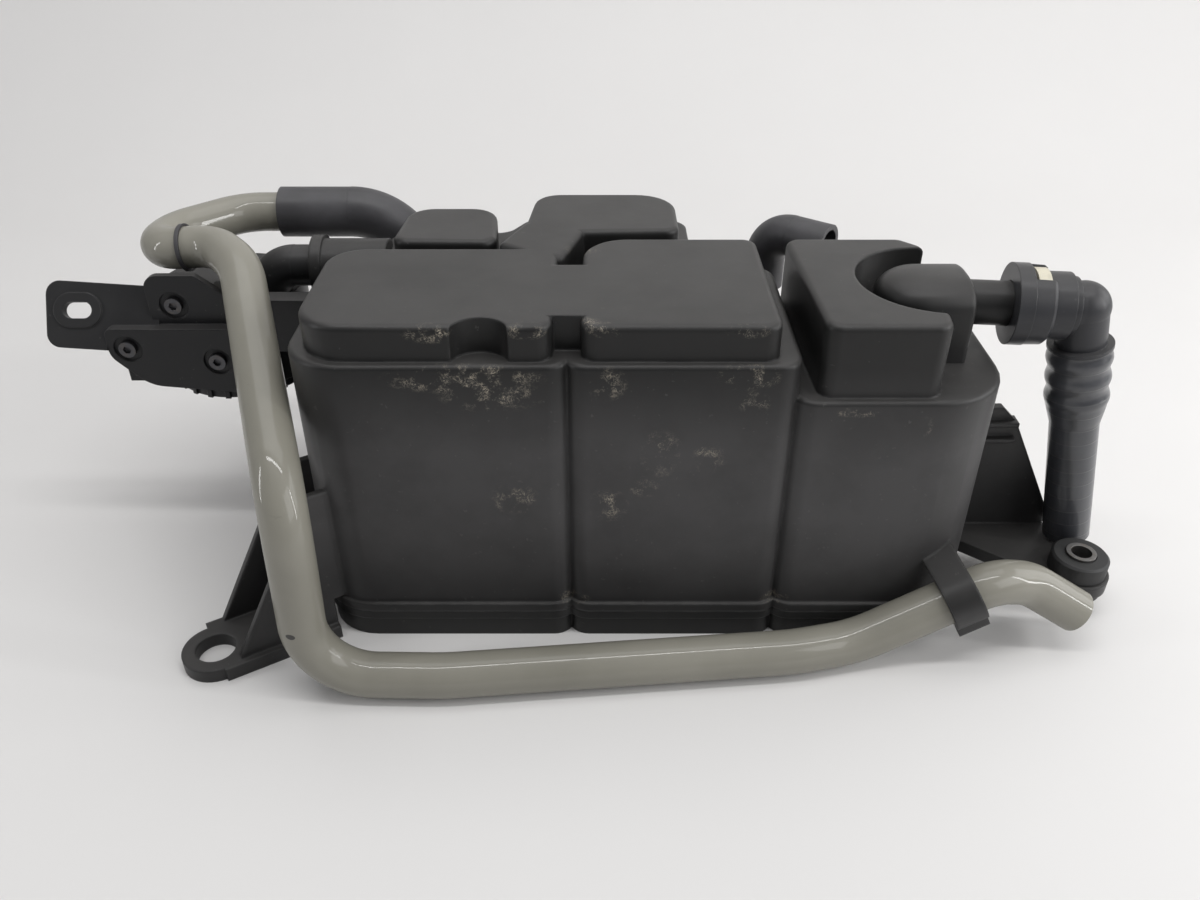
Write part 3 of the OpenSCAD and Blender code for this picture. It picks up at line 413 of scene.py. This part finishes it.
def moulded_plastic(name, dark, light, rough, edge, wall_film_and_light=None, scuffs=()):
    """Black moulded plastic with a fine grain, dust on what faces up, lighter edges that are partly
    rubbed and partly a painted highlight, where given a wall film of dirt and painted light, and
    scuffs.
    """
    material, tree, shader = start(name)
    at = place(tree)
    cloud = noise(tree, at, CLOUD, detail=5.0)
    patches = band(tree, noise(tree, at, PATCH, detail=6.0, rough=0.6), 0.35, 0.75)
    colour = blend(tree, band(tree, cloud, 0.35, 0.7), dark, light)
    settled = band(tree, patches, 0.0, 1.0, 0.6, 1.0)
    dust = maths(tree, "MULTIPLY", band(tree, facing_up(tree), 0.3, 1.0), settled)
    colour = laid(tree, dust, DUST_SHARE, colour, DUST)
    # Wall film: partly dirt, partly painted light on the walls, with painted shade under the ledge.
    if wall_film_and_light:
        colour = blend(tree, film_with_painted_wall_light(tree, at, patches), colour, wall_film_and_light)
    specks = band(tree, noise(tree, at, SPECKLE, detail=2.0), 0.70, 0.75)
    colour = laid(tree, specks, SPECK_SHARE, colour, SPECK)
    # Lighter edges, partly rubbed wear and partly a painted edge highlight.
    rub_and_highlight = band(tree, noise(tree, at, RUB_AND_HIGHLIGHT, detail=5.0), 0.42, 0.7)
    rubbed_and_highlit = maths(tree, "MULTIPLY", edge_for_wear_and_highlight(tree, edge), rub_and_highlight)
    colour = laid(tree, rubbed_and_highlit, RUBBED_AND_EDGE_HIGHLIGHT_SHARE, colour, RUBBED_AND_EDGE_HIGHLIGHT)
    roughness = band(tree, cloud, 0.3, 0.75, rough - 0.06, rough + 0.08)
    if scuffs:
        patch, scratch = scuff_marks(tree, at, scuffs)
        colour = laid(tree, patch, TORN_SHARE, colour, TORN)
        colour = laid(tree, scratch, SCRATCH_SHARE, colour, SCRATCH)
        coarser = maths(tree, "MULTIPLY", scratch, SCRATCH_ROUGH)
        roughness = maths(tree, "ADD", roughness, coarser, clamp=True)
    grain = maths(tree, "MULTIPLY", noise(tree, at, GRAIN, detail=2.0), 0.25)
    height = maths(tree, "ADD", grain, noise(tree, at, WAVE, detail=2.0))
    normal = bump(tree, height, strength=0.18, distance=0.35, normal=rounded_normal(tree, edge))
    surface(tree, shader, colour, roughness, normal)
    shader.inputs["Specular IOR Level"].default_value = PLASTIC_GLOSS
    return material


def tube_plastic(name):
    """Glossy olive-grey nylon with faint streaks, handling marks and one dark nick."""
    material, tree, shader = start(name)
    at = place(tree)
    cloud = noise(tree, at, TUBE_CLOUD, detail=4.0)
    colour = blend(tree, band(tree, cloud, 0.3, 0.7), TUBE_DARK, TUBE_LIGHT)
    streaks = noise(tree, stretched(tree, at, (0.35, 1.0, 1.0)), TUBE_MARKS, detail=6.0, rough=0.7)
    colour = laid(tree, band(tree, streaks, 0.66, 0.74), TUBE_MARK_SHARE, colour, TUBE_MARK)
    nick = near(tree, at, NICK, NICK_HALF)
    colour = blend(tree, band(tree, nick, 0.1, 0.3), colour, TUBE_NICK)
    ripples = bump(tree, noise(tree, at, TUBE_RIPPLE, detail=3.0), strength=0.10, distance=0.4)
    surface(tree, shader, colour, band(tree, cloud, 0.3, 0.7, 0.46, 0.58), ripples)
    shader.inputs["Specular IOR Level"].default_value = PLASTIC_GLOSS
    coat(shader, TUBE_COAT, TUBE_COAT_ROUGH)
    swell = noise(tree, at, TUBE_COAT_RIPPLE, detail=2.0)
    put(tree, shader.inputs["Coat Normal"], bump(tree, swell, strength=0.06, distance=0.4))
    return material


def rubber(name, colour, rough):
    """Matt rubber with a bloom and a fine cloth-wrapped grain."""
    material, tree, shader = start(name)
    at = place(tree)
    bloom = band(tree, noise(tree, at, BLOOM_CLOUD, detail=6.0), 0.4, 0.75)
    pale = tuple(BLOOM_PALE * c for c in colour)
    grain = noise(tree, at, RUBBER_GRAIN, detail=3.0)
    normal = bump(tree, grain, strength=0.25, distance=0.12, normal=rounded_normal(tree, 0.5))
    roughness = band(tree, bloom, 0.0, 1.0, rough - 0.08, rough + 0.1)
    surface(tree, shader, laid(tree, bloom, BLOOM_SHARE, colour, pale), roughness, normal)
    return material


def ringed_plastic(name, foot, way, pitch):
    """Black nylon line with fine ring marks at a pitch along its axis."""
    material, tree, shader = start(name)
    at = place(tree)
    along = vectors(tree, "DOT_PRODUCT", away_from(tree, at, foot), way)
    phase = maths(tree, "FRACT", maths(tree, "DIVIDE", along.outputs["Value"], pitch * MM))
    off_middle = maths(tree, "ABSOLUTE", maths(tree, "SUBTRACT", phase, 0.5))
    ring = band(tree, off_middle, 0.06, 0.0)
    cloud = noise(tree, at, LINE_CLOUD, detail=5.0)
    colour = blend(tree, band(tree, cloud, 0.35, 0.7), LINE_DARK, LINE_LIGHT)
    colour = laid(tree, ring, RING_SHARE, colour, RING)
    grain = maths(tree, "MULTIPLY", noise(tree, at, LINE_GRAIN, detail=3.0), 0.2)
    height = maths(tree, "ADD", ring, grain)
    normal = bump(tree, height, strength=0.3, distance=0.25, normal=rounded_normal(tree, 0.5))
    surface(tree, shader, colour, band(tree, cloud, 0.3, 0.7, 0.28, 0.42), normal)
    coat(shader, LINE_COAT, LINE_COAT_ROUGH)
    return material


def metal(name, colour, rough, spots):
    """Dull plated steel with fine scratches and darker spots."""
    material, tree, shader = start(name)
    at = place(tree)
    stain = band(tree, noise(tree, at, STAIN_CLOUD, detail=6.0), 0.5, 0.7)
    lines = noise(tree, stretched(tree, at, (1.0, 1.0, 8.0)), STEEL_LINES, detail=4.0)
    normal = bump(tree, lines, strength=0.15, distance=0.1, normal=rounded_normal(tree, 0.3))
    roughness = band(tree, lines, 0.3, 0.7, rough - 0.08, rough + 0.14)
    surface(tree, shader, laid(tree, stain, spots, colour, STAIN), roughness, normal)
    shader.inputs["Metallic"].default_value = 1.0
    return material


def felt(name):
    """White felt of tangled fibres."""
    material, tree, shader = start(name)
    fibre = noise(tree, place(tree), FIBRES, detail=8.0, rough=0.75, distortion=2.0)
    colour = blend(tree, band(tree, fibre, 0.3, 0.7), FELT_DARK, FELT_LIGHT)
    surface(tree, shader, colour, FELT_ROUGH, bump(tree, fibre, strength=0.6, distance=0.4))
    return material


def granules(name):
    """Black carbon granules, darker towards their edges as painted shade in the gaps between them.
    """
    material, tree, shader = start(name)
    cells = add(tree, "ShaderNodeTexVoronoi", {"Vector": place(tree), "Scale": GRANULES})
    depth = cells.outputs["Distance"]
    colour = blend(tree, depth, GRANULE, GRANULE_GAP_SHADE)
    surface(tree, shader, colour, GRANULE_ROUGH, bump(tree, depth, strength=0.8, distance=0.8))
    return material


def cream_plastic(name):
    """Cream nylon with grime in its hollows."""
    material, tree, shader = start(name)
    grime = band(tree, noise(tree, place(tree), GRIME_CLOUD, detail=6.0), 0.5, 0.72)
    normal = bump(tree, grime, strength=0.2, distance=0.2, normal=rounded_normal(tree, 0.4))
    surface(tree, shader, laid(tree, grime, GRIME_SHARE, CREAM, GRIME), CREAM_ROUGH, normal)
    return material


def linked(name, data):
    """New object of the scene."""
    item = bpy.data.objects.new(name, data)
    bpy.context.scene.collection.objects.link(item)
    return item


def smooth(item):
    """Round faces shaded as round, with the creases kept sharp."""
    mesh = item.data
    mesh.shade_smooth()
    if "custom_normal" in mesh.attributes:
        mesh.attributes.remove(mesh.attributes["custom_normal"])
    item.modifiers.new("weld", "WELD").merge_threshold = WELD_GAP * MM
    item.modifiers.new("creases", "EDGE_SPLIT").split_angle = CREASE
    item.modifiers.new("normals", "WEIGHTED_NORMAL").keep_sharp = True


def centre_line(route):
    """Points in metres along a route of corners, each rounded by its bend."""
    line = []
    corners = [Vector(c[:3]) * MM for c in route]
    for i, p in enumerate(corners):
        if route[i][3] == 0:
            line.append(p)
            continue
        u = (corners[i - 1] - p).normalized()
        w = (corners[i + 1] - p).normalized()
        turn = math.pi - u.angle(w)
        radius = route[i][3] * MM
        centre = p + (u + w).normalized() * (radius / math.cos(turn / 2))
        first = p + u * (radius * math.tan(turn / 2)) - centre
        side = u.cross(first).cross(first).normalized() * radius
        if side.dot(u) > 0:
            side = -side
        steps = max(2, math.ceil(turn / BEND_STEP))
        for k in range(steps + 1):
            a = turn * k / steps
            line.append(centre + first * math.cos(a) + side * math.sin(a))
    return line


def swept_tube(name, route, outer, inner):
    """Open tube swept along a route without seams."""
    line = centre_line(route)
    points, faces = [], []
    across = None
    for i, p in enumerate(line):
        ahead = (line[min(i + 1, len(line) - 1)] - line[max(i - 1, 0)]).normalized()
        across = ahead.orthogonal() if across is None else across - ahead * across.dot(ahead)
        across.normalize()
        other = ahead.cross(across)
        for radius in (outer, inner):
            for k in range(TUBE_SIDES):
                a = 2 * math.pi * k / TUBE_SIDES
                points.append(p + (across * math.cos(a) + other * math.sin(a)) * radius * MM)
    ring = 2 * TUBE_SIDES
    for i in range(len(line) - 1):
        for k in range(TUBE_SIDES):
            n = (k + 1) % TUBE_SIDES
            low, high = i * ring, (i + 1) * ring
            faces.append((low + k, low + n, high + n, high + k))
            low, high = low + TUBE_SIDES, high + TUBE_SIDES
            faces.append((low + n, low + k, high + k, high + n))
    last = (len(line) - 1) * ring
    for k in range(TUBE_SIDES):
        n = (k + 1) % TUBE_SIDES
        faces.append((k + TUBE_SIDES, n + TUBE_SIDES, n, k))
        faces.append((last + k, last + n, last + n + TUBE_SIDES, last + k + TUBE_SIDES))
    mesh = bpy.data.meshes.new(name)
    mesh.from_pydata(points, [], faces)
    mesh.shade_smooth()
    item = linked(name, mesh)
    item.modifiers.new("creases", "EDGE_SPLIT").split_angle = CREASE
    return item


def closed_mesh(name, points, faces):
    """New object of welded faces that look outwards, shaded as round."""
    shape = bmesh.new()
    corners = [shape.verts.new(Vector(p) * MM) for p in points]
    for face in faces:
        shape.faces.new([corners[i] for i in face])
    bmesh.ops.remove_doubles(shape, verts=shape.verts, dist=WELD_GAP * MM)
    bmesh.ops.recalc_face_normals(shape, faces=shape.faces)
    mesh = bpy.data.meshes.new(name)
    shape.to_mesh(mesh)
    shape.free()
    mesh.shade_smooth()
    item = linked(name, mesh)
    item.modifiers.new("creases", "EDGE_SPLIT").split_angle = CREASE
    return item


def nose_arch(inset):
    """Half section of the nose from its foot to its crown, drawn in by an inset."""
    half, rise = NOSE_HALF - inset, NOSE_CROWN - inset
    arch = [(half, NOSE_LOW), (half, (NOSE_LOW + NOSE_SHOULDER) / 2)]
    share = 2 / NOSE_POWER
    for k in range(ARCH_STEPS + 1):
        a = math.pi / 2 * k / ARCH_STEPS
        out = half * math.cos(a) ** share if k < ARCH_STEPS else 0.0
        arch.append((out, NOSE_SHOULDER + rise * math.sin(a) ** share))
    return arch


def smooth_nose(name):
    """Thumb-shaped nose: a round tip, a straight body and a rounded end."""
    x, y = NOSE_PLACE
    stations = []
    for k in range(ROUND_STEPS, -1, -1):
        a = math.pi / 2 * k / ROUND_STEPS
        inset = NOSE_ROUND * (1 - math.cos(a))
        stations.append((NOSE_END - NOSE_ROUND + NOSE_ROUND * math.sin(a), inset))
    rows = [((at, y), (0.0, -1.0), inset) for at, inset in stations]
    for k in range(TIP_STEPS + 1):
        a = math.pi * k / TIP_STEPS
        rows.append(((x, y), (-math.sin(a), -math.cos(a)), 0.0))
    rows += [((at, y), (0.0, 1.0), inset) for at, inset in reversed(stations)]
    points, faces = [], []
    for (cx, cy), (dx, dy), inset in rows:
        points += [(cx + dx * r, cy + dy * r, z) for r, z in nose_arch(inset)]
    size = len(nose_arch(0.0))
    for i in range(len(rows) - 1):
        tip = rows[i][0] == rows[i + 1][0]
        for j in range(size - 1):
            a, b = i * size + j, (i + 1) * size + j
            faces.append((a, b, a + 1) if tip and j == size - 2 else (a, b, b + 1, a + 1))
    last = (len(rows) - 1) * size
    faces.append(tuple(range(size)) + tuple(last + j for j in range(size - 2, -1, -1)))
    faces.append(tuple(i * size for i in range(len(rows))))
    return closed_mesh(name, points, faces)


def collar_with_window(name):
    """Collar round the retainer, open on top where the button shows."""
    root = Vector(NIPPLE_ROOT)
    way = Vector((math.cos(NIPPLE_TURN), -math.sin(NIPPLE_TURN), 0.0))
    up = Vector((0.0, 0.0, 1.0))
    side = way.cross(up)
    size = len(COLLAR_PROFILE)
    points, faces = [], []
    for i in range(COLLAR_STEPS + 1):
        a = WINDOW_HALF + (2 * math.pi - 2 * WINDOW_HALF) * i / COLLAR_STEPS
        out = up * math.cos(a) + side * math.sin(a)
        points += [root + way * along + out * radius for along, radius in COLLAR_PROFILE]
    for i in range(COLLAR_STEPS):
        for j in range(size):
            n = (j + 1) % size
            faces.append((i * size + j, i * size + n, (i + 1) * size + n, (i + 1) * size + j))
    faces.append(tuple(range(size)))
    faces.append(tuple(COLLAR_STEPS * size + j for j in range(size)))
    return closed_mesh(name, points, faces)


def trimmed(name, source, low, high):
    """Copy of a solid with the block between two corners cut away."""
    corners = [
        (x, y, z)
        for x in (low[0], high[0])
        for y in (low[1], high[1])
        for z in (low[2], high[2])
    ]
    sides = [(0, 1, 3, 2), (4, 6, 7, 5), (0, 4, 5, 1), (2, 3, 7, 6), (0, 2, 6, 4), (1, 5, 7, 3)]
    block = closed_mesh("trim_block", corners, sides)
    item = linked(name, source.data.copy())
    item.modifiers.new("weld", "WELD").merge_threshold = WELD_GAP * MM
    cut = item.modifiers.new("cut", "BOOLEAN")
    cut.operation = "DIFFERENCE"
    cut.solver = "EXACT"
    cut.object = block
    shape = item.evaluated_get(bpy.context.evaluated_depsgraph_get())
    mesh = bpy.data.meshes.new_from_object(shape)
    item.modifiers.clear()
    item.data = mesh
    bpy.data.objects.remove(block)
    return item


def backdrop():
    """Pale floor that turns up into a wall behind the part."""
    profile = [(FLOOR_FRONT, 0.0)]
    for i in range(FLOOR_STEPS + 1):
        a = math.pi / 2 * i / FLOOR_STEPS
        back = FLOOR_BACK - FLOOR_TURN + FLOOR_TURN * math.sin(a)
        profile.append((back, FLOOR_TURN - FLOOR_TURN * math.cos(a)))
    profile.append((FLOOR_BACK, FLOOR_RISE))
    points = [(x, y, z) for y, z in profile for x in (-FLOOR_HALF, FLOOR_HALF)]
    faces = [(2 * i, 2 * i + 1, 2 * i + 3, 2 * i + 2) for i in range(len(profile) - 1)]
    mesh = bpy.data.meshes.new("floor")
    mesh.from_pydata(points, [], faces)
    mesh.shade_smooth()
    floor = linked("floor", mesh)
    material, tree, shader = start("floor_paint")
    cloud = noise(tree, place(tree), FLOOR_CLOUD, detail=3.0)
    darker = tuple(FLOOR_SHADE * c for c in FLOOR_COLOUR)
    colour = blend(tree, band(tree, cloud, 0.3, 0.7), FLOOR_COLOUR, darker)
    put(tree, shader.inputs["Base Color"], colour)
    put(tree, shader.inputs["Roughness"], FLOOR_ROUGH)
    mesh.materials.append(material)


def lamp(name, at, aim, size, power):
    """Soft rectangular lamp at a place, turned to its aim."""
    light = bpy.data.lights.new(name, "AREA")
    light.shape = "RECTANGLE"
    light.size, light.size_y = size
    light.energy = power
    item = linked(name, light)
    item.location = at
    item.rotation_euler = (Vector(aim) - Vector(at)).to_track_quat("-Z", "Y").to_euler()


def studio():
    """Backdrop, even sky and soft lamps."""
    scene = bpy.context.scene
    scene.view_settings.view_transform = "Standard"
    backdrop()
    world = bpy.data.worlds.new("studio")
    world.use_nodes = True
    sky = world.node_tree.nodes["Background"]
    sky.inputs["Color"].default_value = (*WORLD_COLOUR, 1.0)
    sky.inputs["Strength"].default_value = WORLD_STRENGTH
    scene.world = world
    for row in LAMPS:
        lamp(*row)


def camera():
    """Camera at the photograph's place, looking down along the y axis."""
    data = bpy.data.cameras.new("camera")
    data.sensor_width = SENSOR
    data.lens = LENS
    item = linked("camera", data)
    item.location = [v * MM for v in CAMERA_PLACE]
    item.rotation_euler = (math.radians(90 - CAMERA_DOWN), 0, 0)
    bpy.context.scene.camera = item


# Finish of each material slot: its maker and what the maker takes after the name.
# Moulded plastic: dark and light tone, roughness, width of the rounded edges in millimetres, which
# are partly rubbed and partly given a painted highlight, wall film of dirt with painted light and
# shade, scuffs.
# Rubber: tone and roughness. Metal: tone, roughness and share of the spots.
MAKERS = {
    # Housing: its wall film is partly painted light with painted shade under the ledge; its lighter
    # edges are partly a painted highlight.
    "housing_plastic": (
        moulded_plastic, (0.012, 0.012, 0.012), (0.019, 0.0185, 0.018), 0.42, 1.6, WALL_FILM_AND_LIGHT, SCUFFS,
    ),
    "cover_plastic": (
        moulded_plastic, (0.016, 0.016, 0.016), (0.024, 0.024, 0.023), 0.45, 1.0,
    ),
    "module_plastic": (
        moulded_plastic, (0.010, 0.010, 0.011), (0.016, 0.016, 0.017), 0.4, 0.8,
    ),
    "connector_plastic": (
        moulded_plastic, (0.032, 0.0325, 0.036), (0.046, 0.0465, 0.050), 0.35, 0.6,
    ),
    "tube_plastic": (tube_plastic,),
    "hose_rubber": (rubber, (0.040, 0.039, 0.042), 0.5),
    "seal_rubber": (rubber, (0.018, 0.018, 0.018), 0.6),
    "line_plastic": (ringed_plastic, LINE_FOOT, LINE_WAY, RING_PITCH),
    "retainer_plastic": (cream_plastic,),
    "steel": (metal, (0.21, 0.205, 0.20), 0.45, 0.6),
    "screw_steel": (metal, (0.09, 0.09, 0.095), 0.4, 0.3),
    "felt": (felt,),
    "carbon": (granules,),
    "grid_plastic": (moulded_plastic, (0.1, 0.1, 0.1), (0.13, 0.13, 0.13), 0.5, 0.5),
    "spring_steel": (metal, (0.5, 0.5, 0.51), 0.3, 0.2),
}

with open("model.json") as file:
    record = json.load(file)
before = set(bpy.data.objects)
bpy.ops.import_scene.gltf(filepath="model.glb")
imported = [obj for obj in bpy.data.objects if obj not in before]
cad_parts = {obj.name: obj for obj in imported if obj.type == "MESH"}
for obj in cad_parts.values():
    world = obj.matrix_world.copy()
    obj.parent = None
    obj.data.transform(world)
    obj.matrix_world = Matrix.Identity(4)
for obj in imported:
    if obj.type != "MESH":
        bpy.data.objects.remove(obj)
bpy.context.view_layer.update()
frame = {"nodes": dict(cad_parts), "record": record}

camera()
studio()

FINISHES = {slot: make(slot, *values) for slot, (make, *values) in MAKERS.items()}

for part in frame["record"]["subparts"]:
    item = frame["nodes"][part["node"]]
    item.data.materials.clear()
    item.data.materials.append(FINISHES[part["material_slot"]])
    smooth(item)

vent = swept_tube("vent_tube_smooth", VENT_ROUTE, VENT_RADIUS, VENT_RADIUS - VENT_WALL)
vent.data.materials.append(FINISHES["tube_plastic"])
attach(vent, "root")
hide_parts("vent_tube")

plate = frame["nodes"]["module_cover"]
cover = trimmed("module_cover_trimmed", plate, TRIM_LOW, TRIM_HIGH)
smooth(cover)
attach(cover, "root")
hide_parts("module_cover")

overlays = (
    (smooth_nose("housing_nose"), "housing_plastic"),
    (collar_with_window("connector_collar"), "connector_plastic"),
)
for piece, finish in overlays:
    piece.data.materials.append(FINISHES[finish])
    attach(piece, "root")
